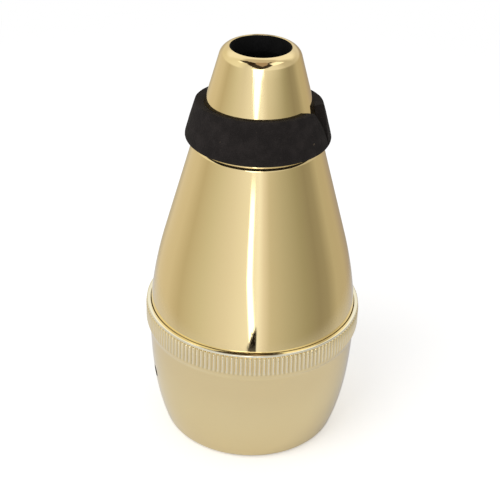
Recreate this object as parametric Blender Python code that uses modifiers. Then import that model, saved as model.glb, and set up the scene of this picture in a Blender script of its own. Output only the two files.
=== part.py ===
"""Practice mute for a trumpet: a plated cone screwed into a bowl with a ribbed collar.

The mute stands on the flat foot of its bowl, with +Z up along its own axis and the origin in the
middle of the foot. The front is -Y. Sizes are in millimetres here and become metres in the meshes.
"""

from math import atan2, cos, hypot, pi, radians, sin, tan

import bmesh
import bpy
from mathutils import Matrix, Vector

MM = 0.001

# Fits
GAP = 0.3                    # between pieces that touch
THREAD_SPACE = 1.0           # between spigot and collar bore, which the thread fills

# Bowl
BOWL_HEIGHT = 49.5           # foot to the top of the collar
FOOT_RADIUS = 28.1           # the flat that it stands on
FOOT_CORNER = 3.3
FOOT_LEAN = 19.6             # degrees, how far the wall leans in where it meets the foot's corner
RIM_LEAN = 2.2               # degrees, under the collar
WALL_HANDLE_UP = 8.0         # curve handles of the wall, at the collar and at the foot
WALL_HANDLE_DOWN = 14.0
BOWL_WALL = 2.0
FLOOR = 2.2
INNER_CORNER = 2.5

# Collar
COLLAR_WALL = 0.9            # round the cone's foot, between the ribs
COLLAR_HEIGHT = 8.4          # lip and ribs
COLLAR_STEP = 0.9            # how far the collar stands out from the wall below it
COLLAR_TAPER = 2.8           # height over which it does
LIP_HEIGHT = 0.8
LIP_STEP = 0.25              # how far the lip stands out over the collar
LIP_ROUND = 0.35
RIB_COUNT = 150
RIB_DEPTH = 0.5
RIB_FOOT_WIDTH = 1.0
RIB_CREST_WIDTH = 0.55
RIB_ROOT = 0.35              # how far a rib reaches into the collar
RIB_END_SLOPE = 0.6          # length of the sloped lower end of a rib

# Vent holes, a pair across the bowl
VENT_RADIUS = 2.2
VENT_HEIGHT = 22.0
VENT_TURN = -74.0            # degrees from the front, positive towards +X

# Cone, measured up from its shoulder, which seats on the gasket
CONE_LENGTH = 96.0
CONE_SINK = 0.9              # how far the shoulder lies below the top of the collar
JOINT_RADIUS = 36.3          # the cone's foot, which sits in the collar
KNEE_HEIGHT = 13.4           # where the cone's straight line and the foot's line would cross
KNEE_STEP = 1.15             # how far that point lies inside the foot
SHOULDER_ROUND = 4.13        # the rounding from the cone over to the opening
OPENING_RADIUS = 10.1
NECK_RIM = 2.6               # from the opening out to where the straight line would reach the top
CONE_WALL = 2.0
NECK_DEPTH = 6.0             # length of the bore that holds the throat tube
WEB = 1.6                    # thickness over the shoulder

# Spigot below the shoulder
SPIGOT_STEP = 2.3            # width of the shoulder
SPIGOT_LENGTH = 8.2
SPIGOT_WALL = 1.8
SPIGOT_CHAMFER = 0.5
REBATE_DEPTH = 2.3           # seat of the baffle plate in the spigot's mouth
REBATE_STEP = 0.6

# Sealing band, and the groove that marks its lower edge
BAND_BELOW_TOP = 18.4        # opening down to where the band's upper edge meets the cone
BAND_WIDTH = 14.4            # along the slope
BAND_THICKNESS = 3.6
BAND_ROUND = 0.35
SEAM_TURN = 72.0             # degrees from the front to the middle of the slanted joint
SEAM_LEAN = 34.0             # degrees from upright
SEAM_TOP_GAP = 2.0
SEAM_FOOT_GAP = 0.6
GROOVE_BELOW_BAND = 1.3
GROOVE_WIDTH = 1.0
GROOVE_DEPTH = 0.45

# Throat tube and baffle plate
TUBE_WALL = 1.3
TUBE_SINK = 0.5              # top of the tube below the opening
BAFFLE_THICKNESS = 2.0
HUB_WALL = 2.0
HUB_HEIGHT = 8.0
PORT_COUNT = 6
PORT_RADIUS = 4.0
PORT_CIRCLE = 22.0           # radius of the circle that the ports lie on

# Gasket and damping foam
GASKET_THICKNESS = 1.0
FOAM_THICKNESS = 8.0
FOAM_SIDE_SPACE = 3.0        # between the foam disc and the bowl's corner

# Facets round each turned piece
BOWL_STEPS = RIB_COUNT // 2
CONE_STEPS = 64
TUBE_STEPS = 40
SHARP_EDGE = 32.0            # degrees

# Worked out from the sizes above
KNEE_RADIUS = JOINT_RADIUS - KNEE_STEP
TOP_RADIUS = OPENING_RADIUS + NECK_RIM
CONE_TILT = atan2(KNEE_RADIUS - TOP_RADIUS, CONE_LENGTH - KNEE_HEIGHT)
SPIGOT_RADIUS = JOINT_RADIUS - SPIGOT_STEP
SPIGOT_BORE = SPIGOT_RADIUS - SPIGOT_WALL
REBATE_RADIUS = SPIGOT_BORE + REBATE_STEP
THREAD_BORE = SPIGOT_RADIUS + THREAD_SPACE
SEAT_RADIUS = JOINT_RADIUS + GAP
VALLEY_RADIUS = SEAT_RADIUS + COLLAR_WALL
COLLAR_RADIUS = VALLEY_RADIUS + RIB_DEPTH
LIP_RADIUS = VALLEY_RADIUS + LIP_STEP
RIM_RADIUS = VALLEY_RADIUS - COLLAR_STEP
SHOULDER_Z = BOWL_HEIGHT - CONE_SINK
SEAT_Z = SHOULDER_Z - GASKET_THICKNESS - 2 * GAP
RIB_TOP_Z = BOWL_HEIGHT - LIP_HEIGHT
RIB_FOOT_Z = BOWL_HEIGHT - COLLAR_HEIGHT
RIM_Z = RIB_FOOT_Z - COLLAR_TAPER
TUBE_RADIUS = OPENING_RADIUS - GAP
SPIGOT_END_Z = SHOULDER_Z - SPIGOT_LENGTH
BAFFLE_Z = SPIGOT_END_Z + REBATE_DEPTH - GAP - BAFFLE_THICKNESS
TUBE_TOP_Z = SHOULDER_Z + CONE_LENGTH - TUBE_SINK


def clear_scene():
    for obj in list(bpy.data.objects):
        bpy.data.objects.remove(obj)


def new_collection(name):
    made = bpy.data.collections.new(name)
    bpy.context.scene.collection.children.link(made)
    return made


def new_material(name, colour, roughness, metallic):
    material = bpy.data.materials.new(name)
    material.use_nodes = True
    shader = material.node_tree.nodes["Principled BSDF"]
    shader.inputs["Base Color"].default_value = (*colour, 1.0)
    shader.inputs["Roughness"].default_value = roughness
    shader.inputs["Metallic"].default_value = metallic
    return material


def arc(centre, radius, start, end, steps):
    """Points (radius, height) of an arc, with its angles in radians from the outward direction."""
    points = []
    for i in range(steps + 1):
        angle = start + (end - start) * i / steps
        points.append((centre[0] + radius * cos(angle), centre[1] + radius * sin(angle)))
    return points


def bezier(first, second, third, fourth, steps):
    points = []
    for i in range(steps + 1):
        t = i / steps
        weights = ((1 - t) ** 3, 3 * t * (1 - t) ** 2, 3 * t * t * (1 - t), t ** 3)
        corners = (first, second, third, fourth)
        points.append(tuple(sum(w * p[axis] for w, p in zip(weights, corners)) for axis in (0, 1)))
    return points


def blend(start, corner, end, steps):
    """The arc that leaves start towards corner and turns onto the line from corner to end."""
    leg = hypot(corner[0] - start[0], corner[1] - start[1])
    first = atan2(corner[0] - start[0], corner[1] - start[1])
    last = atan2(end[0] - corner[0], end[1] - corner[1])
    turn = last - first
    chord = 2 * leg * cos(turn / 2) * sin(turn / 2 / steps) / sin(turn / 2)
    points = [start]
    for i in range(steps):
        heading = first + turn * (i + 0.5) / steps
        points.append((points[-1][0] + chord * sin(heading), points[-1][1] + chord * cos(heading)))
    return points


def offset(points, distance):
    """The same line moved sideways, to its left as it is walked."""
    moved = []
    for i, (radius, height) in enumerate(points):
        before = points[max(i - 1, 0)]
        after = points[min(i + 1, len(points) - 1)]
        along = Vector((after[0] - before[0], after[1] - before[1])).normalized()
        moved.append((radius - along.y * distance, height + along.x * distance))
    return moved


def radius_at(points, height):
    """Radius of a line of points, which falls or climbs steadily, at this height."""
    for (r0, z0), (r1, z1) in zip(points, points[1:]):
        if min(z0, z1) <= height <= max(z0, z1) and z0 != z1:
            return r0 + (r1 - r0) * (height - z0) / (z1 - z0)
    return points[-1][0]


def settle(obj):
    """Turn the modifiers into plain mesh, smooth between the sharp edges."""
    graph = bpy.context.evaluated_depsgraph_get()
    mesh = bpy.data.meshes.new_from_object(obj.evaluated_get(graph))
    mesh.name = obj.name
    obj.modifiers.clear()
    obj.data = mesh
    mesh.shade_smooth()
    mesh.set_sharp_from_angle(angle=radians(SHARP_EDGE))


def turned(name, profile, height, steps, material, collection, closed):
    """A profile in millimetres, down its outer side, turned round the axis and set at a height."""
    mesh = bpy.data.meshes.new(name)
    edges = [(i, i + 1) for i in range(len(profile) - 1)]
    if closed:
        edges.append((len(profile) - 1, 0))
    mesh.from_pydata([(r * MM, 0.0, z * MM) for r, z in profile], edges, [])
    mesh.materials.append(material)
    obj = bpy.data.objects.new(name, mesh)
    collection.objects.link(obj)
    obj.location.z = height * MM
    screw = obj.modifiers.new("Turn", "SCREW")
    screw.axis = "Z"
    screw.angle = 2 * pi
    screw.steps = steps
    screw.render_steps = steps
    screw.use_merge_vertices = True
    screw.merge_threshold = 0.00001
    screw.use_smooth_shade = True
    return obj


def helper(name, mesh, collection):
    """An object that only cuts or joins."""
    obj = bpy.data.objects.new(name, mesh)
    collection.objects.link(obj)
    obj.hide_render = True
    obj.display_type = "WIRE"
    return obj


def combine(obj, other, operation):
    boolean = obj.modifiers.new(other.name, "BOOLEAN")
    boolean.operation = operation
    boolean.object = other
    boolean.solver = "EXACT"


def facing(turn):
    """Unit vector that points this many degrees from the front, towards +X."""
    return Vector((sin(radians(turn)), -cos(radians(turn)), 0.0))


def rod_mesh(name, radius, length, sides):
    """A rod along Z, centred, in millimetres."""
    mesh = bpy.data.meshes.new(name)
    shape = bmesh.new()
    bmesh.ops.create_cone(shape, cap_ends=True, segments=sides, radius1=radius * MM,
                          radius2=radius * MM, depth=length * MM)
    shape.to_mesh(mesh)
    shape.free()
    return mesh


def bowl_outer():
    """The bowl's wall and foot corner from under the collar down to the flat."""
    rim = (RIM_RADIUS, RIM_Z)
    centre = (FOOT_RADIUS, FOOT_CORNER)
    lean = radians(FOOT_LEAN)
    corner = arc(centre, FOOT_CORNER, -lean, -pi / 2, 4)
    rim_handle = (RIM_RADIUS - WALL_HANDLE_UP * sin(radians(RIM_LEAN)),
                  RIM_Z - WALL_HANDLE_UP * cos(radians(RIM_LEAN)))
    foot_handle = (corner[0][0] + WALL_HANDLE_DOWN * sin(lean),
                   corner[0][1] + WALL_HANDLE_DOWN * cos(lean))
    return bezier(rim, rim_handle, foot_handle, corner[0], 8)[:-1] + corner


def bowl_inner():
    """The inner wall from the floor's rounded corner up to just under the thread bore."""
    wall = offset(bowl_outer(), -BOWL_WALL)
    low = FLOOR + INNER_CORNER
    side = [point for point in wall if low < point[1]]
    floor_edge = radius_at(wall, low) - INNER_CORNER
    corner = arc((floor_edge, low), INNER_CORNER, -pi / 2, 0.0, 3)
    return corner + list(reversed(side))[1::2]


def make_bowl(gold, parts, cutters):
    lip = arc((LIP_RADIUS - LIP_ROUND, BOWL_HEIGHT - LIP_ROUND), LIP_ROUND, pi / 2, 0.0, 3)
    inner = bowl_inner()
    profile = [(0.0, FLOOR)] + inner
    profile += [
        (THREAD_BORE, SPIGOT_END_Z - GAP),
        (THREAD_BORE, SEAT_Z),
        (SEAT_RADIUS, SEAT_Z),
        (SEAT_RADIUS, BOWL_HEIGHT),
    ]
    profile += lip
    profile += [
        (LIP_RADIUS, RIB_TOP_Z),
        (VALLEY_RADIUS, RIB_TOP_Z - LIP_STEP),
        (VALLEY_RADIUS, RIB_FOOT_Z),
    ]
    profile += bowl_outer() + [(0.0, 0.0)]
    bowl = turned("bowl_cap", profile, 0.0, BOWL_STEPS, gold, parts, closed=False)
    combine(bowl, make_ribs(cutters), "UNION")
    combine(bowl, make_vents(cutters), "DIFFERENCE")
    settle(bowl)
    return bowl


def make_ribs(cutters):
    """The collar's grip: upright ribs in a ring, each with a sloped lower end."""
    mesh = bpy.data.meshes.new("collar_ribs")
    shape = bmesh.new()
    inner = (VALLEY_RADIUS - RIB_ROOT) * MM
    crest = COLLAR_RADIUS * MM
    top = (RIB_TOP_Z - 0.1) * MM
    foot = RIB_FOOT_Z * MM
    for i in range(RIB_COUNT):
        made = bmesh.ops.create_cube(shape, size=1.0)["verts"]
        for vert in made:
            outward = vert.co.x > 0
            width = RIB_CREST_WIDTH if outward else RIB_FOOT_WIDTH
            low = foot + (RIB_END_SLOPE * MM if outward else 0.0)
            vert.co.x = crest if outward else inner
            vert.co.y *= width * MM
            vert.co.z = top if vert.co.z > 0 else low
        turn = Matrix.Rotation(2 * pi * (i + 0.5) / RIB_COUNT, 4, "Z")
        bmesh.ops.transform(shape, matrix=turn, verts=made)
    shape.to_mesh(mesh)
    shape.free()
    return helper("collar_ribs", mesh, cutters)


def make_vents(cutters):
    """One cutter right across the bowl, which opens both vent holes."""
    vents = helper("vent_cutter", rod_mesh("vent_cutter", VENT_RADIUS, 2.4 * RIM_RADIUS, 20), cutters)
    vents.location.z = VENT_HEIGHT * MM
    vents.rotation_mode = "QUATERNION"
    vents.rotation_quaternion = facing(VENT_TURN).to_track_quat("Z", "X")
    return vents


def cone_side():
    """The cone's outer line from its foot up through the flare to where the neck's rounding starts."""
    foot = (JOINT_RADIUS, 0.0)
    flare = blend(foot, (KNEE_RADIUS, KNEE_HEIGHT), (TOP_RADIUS, CONE_LENGTH), 6)
    return flare + [shoulder_arc()[-1]]


def shoulder_arc():
    """The neck's rounding from the opening's edge over and down onto the cone."""
    height = CONE_LENGTH - SHOULDER_ROUND
    line = TOP_RADIUS + SHOULDER_ROUND * tan(CONE_TILT)
    centre = (line - SHOULDER_ROUND / cos(CONE_TILT), height)
    reach = OPENING_RADIUS - centre[0]
    start = atan2((SHOULDER_ROUND ** 2 - reach ** 2) ** 0.5, reach)
    return arc(centre, SHOULDER_ROUND, start, CONE_TILT, 7)


def on_cone(height, outward=0.0):
    """Point on the straight cone at a height, or this far out from it."""
    radius = TOP_RADIUS + (CONE_LENGTH - height) * tan(CONE_TILT)
    return (radius + outward * cos(CONE_TILT), height + outward * sin(CONE_TILT))


def band_heights():
    """Heights where the band's lower and upper edges meet the cone."""
    upper = CONE_LENGTH - BAND_BELOW_TOP
    return upper - BAND_WIDTH * cos(CONE_TILT), upper


def make_cone(gold, parts):
    side = cone_side()
    inner = offset(side, CONE_WALL)
    groove = band_heights()[0] - GROOVE_BELOW_BAND
    half = GROOVE_WIDTH / 2
    web_top = WEB + radius_at(inner, 2 * WEB) - SPIGOT_BORE
    neck_floor = CONE_LENGTH - NECK_DEPTH
    neck_step = on_cone(neck_floor, -CONE_WALL)[0] - OPENING_RADIUS
    profile = shoulder_arc()
    profile += [on_cone(groove + half), on_cone(groove + half / 2, -GROOVE_DEPTH),
                on_cone(groove - half / 2, -GROOVE_DEPTH), on_cone(groove - half)]
    profile += list(reversed(side[:-1]))
    profile += [
        (SPIGOT_RADIUS, 0.0),
        (SPIGOT_RADIUS, SPIGOT_CHAMFER - SPIGOT_LENGTH),
        (SPIGOT_RADIUS - SPIGOT_CHAMFER, -SPIGOT_LENGTH),
        (REBATE_RADIUS, -SPIGOT_LENGTH),
        (REBATE_RADIUS, REBATE_DEPTH - SPIGOT_LENGTH),
        (SPIGOT_BORE, REBATE_DEPTH - SPIGOT_LENGTH),
        (SPIGOT_BORE, WEB),
        (radius_at(inner, web_top), web_top),
    ]
    profile += [point for point in inner[1:-1:2] if point[1] > web_top + WEB]
    profile += [
        on_cone(neck_floor - neck_step, -CONE_WALL),
        (OPENING_RADIUS, neck_floor),
    ]
    cone = turned("cone_shell", profile, SHOULDER_Z, CONE_STEPS, gold, parts, closed=True)
    settle(cone)
    return cone


def make_band(foam, parts, cutters):
    """The foam strip, a ring with a slanted wedge taken out where its ends meet."""
    low, high = band_heights()
    outer = GAP + BAND_THICKNESS
    profile = [
        on_cone(high, outer - BAND_ROUND),
        on_cone(high - BAND_ROUND, outer),
        on_cone(low + BAND_ROUND, outer),
        on_cone(low, outer - BAND_ROUND),
        on_cone(low, GAP),
        on_cone(high, GAP),
    ]
    band = turned("sealing_band", profile, SHOULDER_Z, CONE_STEPS, foam, parts, closed=True)
    combine(band, make_seam(cutters), "DIFFERENCE")
    settle(band)
    return band


def make_seam(cutters):
    """A slanted wedge that stands through the band, wider at its top."""
    low, high = band_heights()
    middle = (low + high) / 2
    reach = 2.5 * BAND_THICKNESS
    length = 2 * BAND_WIDTH
    mesh = bpy.data.meshes.new("seam_cutter")
    shape = bmesh.new()
    for vert in bmesh.ops.create_cube(shape, size=1.0)["verts"]:
        share = vert.co.z * length / BAND_WIDTH + 0.5
        gap = SEAM_FOOT_GAP + (SEAM_TOP_GAP - SEAM_FOOT_GAP) * max(share, 0.0)
        vert.co = Vector((vert.co.x * gap, vert.co.y * reach, vert.co.z * length)) * MM
    shape.to_mesh(mesh)
    shape.free()
    seam = helper("seam_cutter", mesh, cutters)
    radius = on_cone(middle, BAND_THICKNESS / 2)[0]
    seam.location = facing(SEAM_TURN) * radius * MM + Vector((0.0, 0.0, (SHOULDER_Z + middle) * MM))
    upright = Matrix.Rotation(radians(SEAM_TURN), 4, "Z")
    onto_cone = Matrix.Rotation(-CONE_TILT, 4, "X")
    slant = Matrix.Rotation(-radians(SEAM_LEAN), 4, "Y")
    seam.rotation_euler = (upright @ onto_cone @ slant).to_euler()
    return seam


def make_tube(black, parts):
    length = TUBE_TOP_Z - BAFFLE_Z
    bore = TUBE_RADIUS - TUBE_WALL
    profile = [(bore, length), (TUBE_RADIUS, length), (TUBE_RADIUS, 0.0), (bore, 0.0)]
    tube = turned("throat_tube", profile, BAFFLE_Z, TUBE_STEPS, black, parts, closed=True)
    settle(tube)
    return tube


def make_baffle(black, parts, cutters):
    rim = REBATE_RADIUS - GAP
    bore = TUBE_RADIUS + GAP
    hub = bore + HUB_WALL
    profile = [
        (bore, HUB_HEIGHT),
        (hub, HUB_HEIGHT),
        (hub, BAFFLE_THICKNESS),
        (rim, BAFFLE_THICKNESS),
        (rim, 0.0),
        (bore, 0.0),
    ]
    baffle = turned("baffle_plate", profile, BAFFLE_Z, TUBE_STEPS, black, parts, closed=True)
    for i in range(PORT_COUNT):
        name = f"port_cutter_{i + 1}"
        port = helper(name, rod_mesh(name, PORT_RADIUS, 4 * BAFFLE_THICKNESS, 16), cutters)
        port.location = facing(360.0 * i / PORT_COUNT) * PORT_CIRCLE * MM
        port.location.z = BAFFLE_Z * MM
        combine(baffle, port, "DIFFERENCE")
    settle(baffle)
    return baffle


def make_gasket(rubber, parts):
    inner = SPIGOT_RADIUS + GAP
    outer = SEAT_RADIUS - GAP
    profile = [
        (inner, GASKET_THICKNESS),
        (outer, GASKET_THICKNESS),
        (outer, 0.0),
        (inner, 0.0),
    ]
    gasket = turned("joint_gasket", profile, SEAT_Z + GAP, BOWL_STEPS, rubber, parts, closed=True)
    settle(gasket)
    return gasket


def make_foam(foam, parts):
    radius = bowl_inner()[0][0] - FOAM_SIDE_SPACE + INNER_CORNER
    profile = [(0.0, FOAM_THICKNESS), (radius, FOAM_THICKNESS), (radius, 0.0), (0.0, 0.0)]
    disc = turned("damping_foam", profile, FLOOR + GAP, TUBE_STEPS, foam, parts, closed=False)
    settle(disc)
    return disc


def new_pivot(name, height, collection):
    """An empty on the mute's axis that carries what moves together."""
    pivot = bpy.data.objects.new(name, None)
    pivot.empty_display_size = COLLAR_RADIUS * MM
    pivot.location.z = height * MM
    collection.objects.link(pivot)
    return pivot


def carry(pivot, pieces):
    """Parent the pieces to the pivot where they stand. Nothing here is turned, so heights are enough."""
    for piece in pieces:
        piece.parent = pivot
        piece.location -= pivot.location


def main():
    clear_scene()
    parts = new_collection("trumpet_mute")
    cutters = new_collection("cutters")
    gold = new_material("plated_gold", (0.80, 0.66, 0.38), 0.08, 1.0)
    foam = new_material("black_foam", (0.016, 0.013, 0.012), 0.95, 0.0)
    black = new_material("black_plastic", (0.008, 0.008, 0.008), 0.4, 0.0)
    rubber = new_material("black_rubber", (0.012, 0.012, 0.012), 0.7, 0.0)

    bowl = make_bowl(gold, parts, cutters)
    disc = make_foam(foam, parts)
    gasket = make_gasket(rubber, parts)
    cone = make_cone(gold, parts)
    band = make_band(foam, parts, cutters)
    tube = make_tube(black, parts)
    baffle = make_baffle(black, parts, cutters)

    carry(new_pivot("standing_bowl", 0.0, parts), [bowl, disc])
    carry(new_pivot("cone_rise", SEAT_Z, parts), [gasket])
    carry(new_pivot("cone_turn", SHOULDER_Z, parts), [cone, band, tube, baffle])


if __name__ == "__main__":
    main()
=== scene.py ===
"""Looks of a trumpet practice mute: a plated cone screwed into a plated bowl with a ribbed collar.

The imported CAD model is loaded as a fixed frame. Each piece here takes the place of a CAD node, in
metres, standing on its foot with +Z up along the mute's axis and its front towards -Y. Run as a
script it builds every piece and the studio; registered, it adds a panel of the same steps.
"""

from math import atan2, ceil, cos, degrees, hypot, pi, radians, sin, tan

import bpy
import numpy as np
from bpy.props import FloatProperty, FloatVectorProperty, IntProperty, PointerProperty
from mathutils import Matrix, Vector, noise


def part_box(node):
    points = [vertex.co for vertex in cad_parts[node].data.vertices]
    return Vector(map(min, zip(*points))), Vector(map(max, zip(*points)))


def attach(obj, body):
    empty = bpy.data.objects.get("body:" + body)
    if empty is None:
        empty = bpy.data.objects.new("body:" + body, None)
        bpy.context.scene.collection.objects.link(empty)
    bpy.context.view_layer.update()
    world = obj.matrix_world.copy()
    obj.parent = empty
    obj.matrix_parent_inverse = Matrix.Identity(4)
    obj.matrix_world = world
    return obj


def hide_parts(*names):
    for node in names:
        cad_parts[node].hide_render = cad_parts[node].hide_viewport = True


bl_info = {
    "name": "Trumpet Mute",
    "version": (1, 0, 0),
    "blender": (4, 5, 0),
    "location": "3D View > Sidebar > Mute",
    "description": "Builds a plated trumpet practice mute piece by piece, and a pale studio round it",
    "category": "Object",
}

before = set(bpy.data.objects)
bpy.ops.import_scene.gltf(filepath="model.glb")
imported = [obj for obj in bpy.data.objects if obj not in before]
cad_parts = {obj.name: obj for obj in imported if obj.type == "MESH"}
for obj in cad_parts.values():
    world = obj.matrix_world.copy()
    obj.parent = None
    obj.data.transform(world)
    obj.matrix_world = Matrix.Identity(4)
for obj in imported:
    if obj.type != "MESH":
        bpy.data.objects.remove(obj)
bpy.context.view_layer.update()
BOWL_LOW, BOWL_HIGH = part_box("bowl_cap")
CONE_LOW, CONE_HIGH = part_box("cone_shell")
GASKET_LOW, GASKET_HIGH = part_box("joint_gasket")
FOAM_LOW, FOAM_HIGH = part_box("damping_foam")
TUBE_LOW, TUBE_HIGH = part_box("throat_tube")
BAFFLE_LOW, BAFFLE_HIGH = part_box("baffle_plate")

MM = 0.001
RIB_VALLEY = 37.5 * MM
RIB_TOP = BOWL_HIGH.z - 0.95 * MM
RIB_FOOT = BOWL_HIGH.z - 8.4 * MM
GAP = 0.3 * MM
# Radians that the foam strip is spun short of a full turn, before its ends are set.
SPIN_GAP = 0.1


def length(name, description, default, digits=5):
    """A size in metres that the panel shows in the scene's length unit."""
    return FloatProperty(
        name=name, description=description, default=default, min=0.0, precision=digits, unit="LENGTH"
    )


def colour(name, description, default):
    return FloatVectorProperty(
        name=name, description=description, default=default, min=0.0, max=1.0, subtype="COLOR"
    )


class BowlSizes(bpy.types.PropertyGroup):
    height: length("Height", "Foot to the top of the collar", BOWL_HIGH.z)
    foot_radius: length("Foot radius", "The flat that the mute stands on", 28.1 * MM)
    foot_corner: length("Foot corner", "Rounding from the foot up into the wall", 3.3 * MM)
    wall: length("Wall", "Thickness of the bowl's wall", 2.0 * MM)
    floor: length("Floor", "Thickness of the bowl's floor", 2.2 * MM)
    rim_radius: length("Rim radius", "The wall just under the collar", 36.6 * MM)
    collar_height: length("Collar height", "Lip and ribs together", 8.4 * MM)
    collar_taper: length("Collar taper", "Height over which the collar runs down to the wall", 2.8 * MM)
    valley_radius: length("Valley radius", "The collar between its ribs", 37.5 * MM)
    lip_height: length("Lip height", "The plain lip above the ribs", 0.8 * MM)
    lip_step: length("Lip step", "How far the lip stands out over the collar", 0.25 * MM)
    rib_depth: length("Rib depth", "How far a rib stands out of the collar", BOWL_HIGH.x - 37.5 * MM)
    ribs: IntProperty(name="Ribs", description="Ribs round the collar", default=150, min=30, max=300)
    vent_radius: length("Vent radius", "Each of the two holes across the bowl", 2.2 * MM)
    vent_height: length("Vent height", "Foot to the middle of a vent hole", 22.0 * MM)
    vent_turn: FloatProperty(
        name="Vent turn",
        description="Where the left vent hole lies, round from the front",
        default=radians(-74.0),
        subtype="ANGLE",
    )


class ConeSizes(bpy.types.PropertyGroup):
    height: length("Height", "Shoulder to the neck's opening", 96.0 * MM)
    shoulder_z: length("Shoulder", "Foot of the mute up to the cone's shoulder", 48.6 * MM)
    joint_radius: length("Joint radius", "The cone's foot, which sits in the collar", CONE_HIGH.x)
    knee_radius: length("Knee radius", "Where the cone's and the foot's lines would cross", 35.15 * MM)
    knee_height: length("Knee height", "Height of that crossing over the shoulder", 13.4 * MM)
    top_radius: length("Top radius", "Where the straight cone would reach the top", 12.7 * MM)
    shoulder_round: length("Neck rounding", "From the cone over to the opening", 4.13 * MM)
    opening_radius: length("Opening radius", "The neck's opening", 10.1 * MM)
    wall: length("Wall", "Thickness of the cone's wall", 2.0 * MM)
    spigot_radius: length("Spigot radius", "The threaded part in the bowl", 34.0 * MM)
    groove_below: length("Groove", "Opening down to the middle of the locating groove", 33.6 * MM)
    groove_width: length("Groove width", "Across the locating groove", 1.0 * MM)
    groove_depth: length("Groove depth", "Depth of the locating groove", 0.45 * MM)
    thread_pitch: length("Thread pitch", "Rise of the thread in one turn", 3.0 * MM)


class BandSizes(bpy.types.PropertyGroup):
    below_top: length("Below top", "Opening down to the band's upper edge", 18.4 * MM)
    width: length("Width", "Along the cone's slope", 14.4 * MM)
    thickness: length("Thickness", "Foam thickness", 2.9 * MM)
    droop: length("Droop", "How much lower the upper edge sits at the back", 2.8 * MM)
    seam_turn: FloatProperty(
        name="Seam turn",
        description="Foot of the joint, round from the front",
        default=radians(72.0),
        subtype="ANGLE",
    )
    seam_lean: FloatProperty(
        name="Front end lean",
        description="How far round the front end is cut back at its top",
        default=radians(12.0),
        subtype="ANGLE",
    )
    seam_back: FloatProperty(
        name="Back end lean",
        description="How far round the back end is cut back at its top",
        default=radians(11.0),
        subtype="ANGLE",
    )
    seam_foot_gap: length("Seam foot gap", "Opening of the joint at its foot", 0.6 * MM)


class TubeSizes(bpy.types.PropertyGroup):
    wall: length("Wall", "Thickness of the throat tube", 1.3 * MM)
    baffle: length("Baffle", "Thickness of the baffle plate", 2.0 * MM)
    hub_wall: length("Hub wall", "Thickness of the hub that holds the tube", 2.0 * MM)
    port_radius: length("Port radius", "Each port in the baffle plate", 4.0 * MM)
    port_circle: length("Port circle", "Radius of the circle that the ports lie on", 22.0 * MM)
    ports: IntProperty(name="Ports", description="Ports in the baffle plate", default=6, min=1, max=12)


class Finishes(bpy.types.PropertyGroup):
    gold: colour("Plating", "Pale gold plating", (0.93, 0.755, 0.405))
    foam: colour("Foam", "Closed-cell foam", (0.014, 0.0115, 0.0108))
    plastic: colour("Black plastic", "Unplated moulding", (0.003, 0.003, 0.003))
    rubber: colour("Rubber", "Gasket rubber", (0.010, 0.010, 0.010))


class Studio(bpy.types.PropertyGroup):
    floor: colour("Floor", "Pale floor", (0.86, 0.86, 0.86))
    floor_size: FloatProperty(
        name="Floor size", description="Edge of the floor", default=6.0, min=1.0, unit="LENGTH"
    )
    fill: FloatProperty(name="Fill", description="Plain light from all round", default=0.66, min=0.0)
    key: FloatProperty(name="Key lamp", description="Soft lamp from the front left, in watts", default=5.0)


# Profiles, as points (radius, height)


def arc(centre, radius, start, end, steps):
    """Points of an arc, with its angles from the outward direction."""
    points = []
    for i in range(steps + 1):
        angle = start + (end - start) * i / steps
        points.append((centre[0] + radius * cos(angle), centre[1] + radius * sin(angle)))
    return points


def bezier(first, second, third, fourth, steps):
    points = []
    for i in range(steps + 1):
        t = i / steps
        weights = ((1 - t) ** 3, 3 * t * (1 - t) ** 2, 3 * t * t * (1 - t), t ** 3)
        corners = (first, second, third, fourth)
        points.append(tuple(sum(w * p[axis] for w, p in zip(weights, corners)) for axis in (0, 1)))
    return points


def blend(start, corner, end, steps):
    """The arc that leaves start towards corner and turns onto the line from corner to end."""
    leg = hypot(corner[0] - start[0], corner[1] - start[1])
    first = atan2(corner[0] - start[0], corner[1] - start[1])
    last = atan2(end[0] - corner[0], end[1] - corner[1])
    turn = last - first
    chord = 2 * leg * cos(turn / 2) * sin(turn / 2 / steps) / sin(turn / 2)
    points = [start]
    for i in range(steps):
        heading = first + turn * (i + 0.5) / steps
        points.append((points[-1][0] + chord * sin(heading), points[-1][1] + chord * cos(heading)))
    return points


def rounded(corners, closed=True, facet=18.0):
    """Corners (radius, height, rounding) as a line whose corners are arcs, a facet each so many degrees."""
    points = []
    count = len(corners)
    for i, (x, y, rounding) in enumerate(corners):
        at_end = not closed and i in (0, count - 1)
        if not rounding or at_end:
            points.append((x, y))
            continue
        here = Vector((x, y))
        back = (Vector(corners[i - 1][:2]) - here).normalized()
        onward = (Vector(corners[(i + 1) % count][:2]) - here).normalized()
        opening = back.angle(onward)
        turn = pi - opening
        reach = rounding / tan(opening / 2)
        start = here + back * reach
        end = here + onward * reach
        centre = here + (back + onward).normalized() * (rounding / sin(opening / 2))
        steps = max(2, ceil(degrees(turn) / facet))
        first = atan2(start.y - centre.y, start.x - centre.x)
        last = atan2(end.y - centre.y, end.x - centre.x)
        sweep = (last - first + pi) % (2 * pi) - pi
        points += arc(centre, rounding, first, first + sweep, steps)
    return points


def straight(start, end, steps):
    """Points between start and end, without either."""
    return [
        tuple(a + (b - a) * i / steps for a, b in zip(start, end)) for i in range(1, steps)
    ]


def offset(points, distance):
    """The same line moved sideways, to its left as it is walked."""
    moved = []
    for i, (radius, height) in enumerate(points):
        before = points[max(i - 1, 0)]
        after = points[min(i + 1, len(points) - 1)]
        along = Vector((after[0] - before[0], after[1] - before[1])).normalized()
        moved.append((radius - along.y * distance, height + along.x * distance))
    return moved


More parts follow.
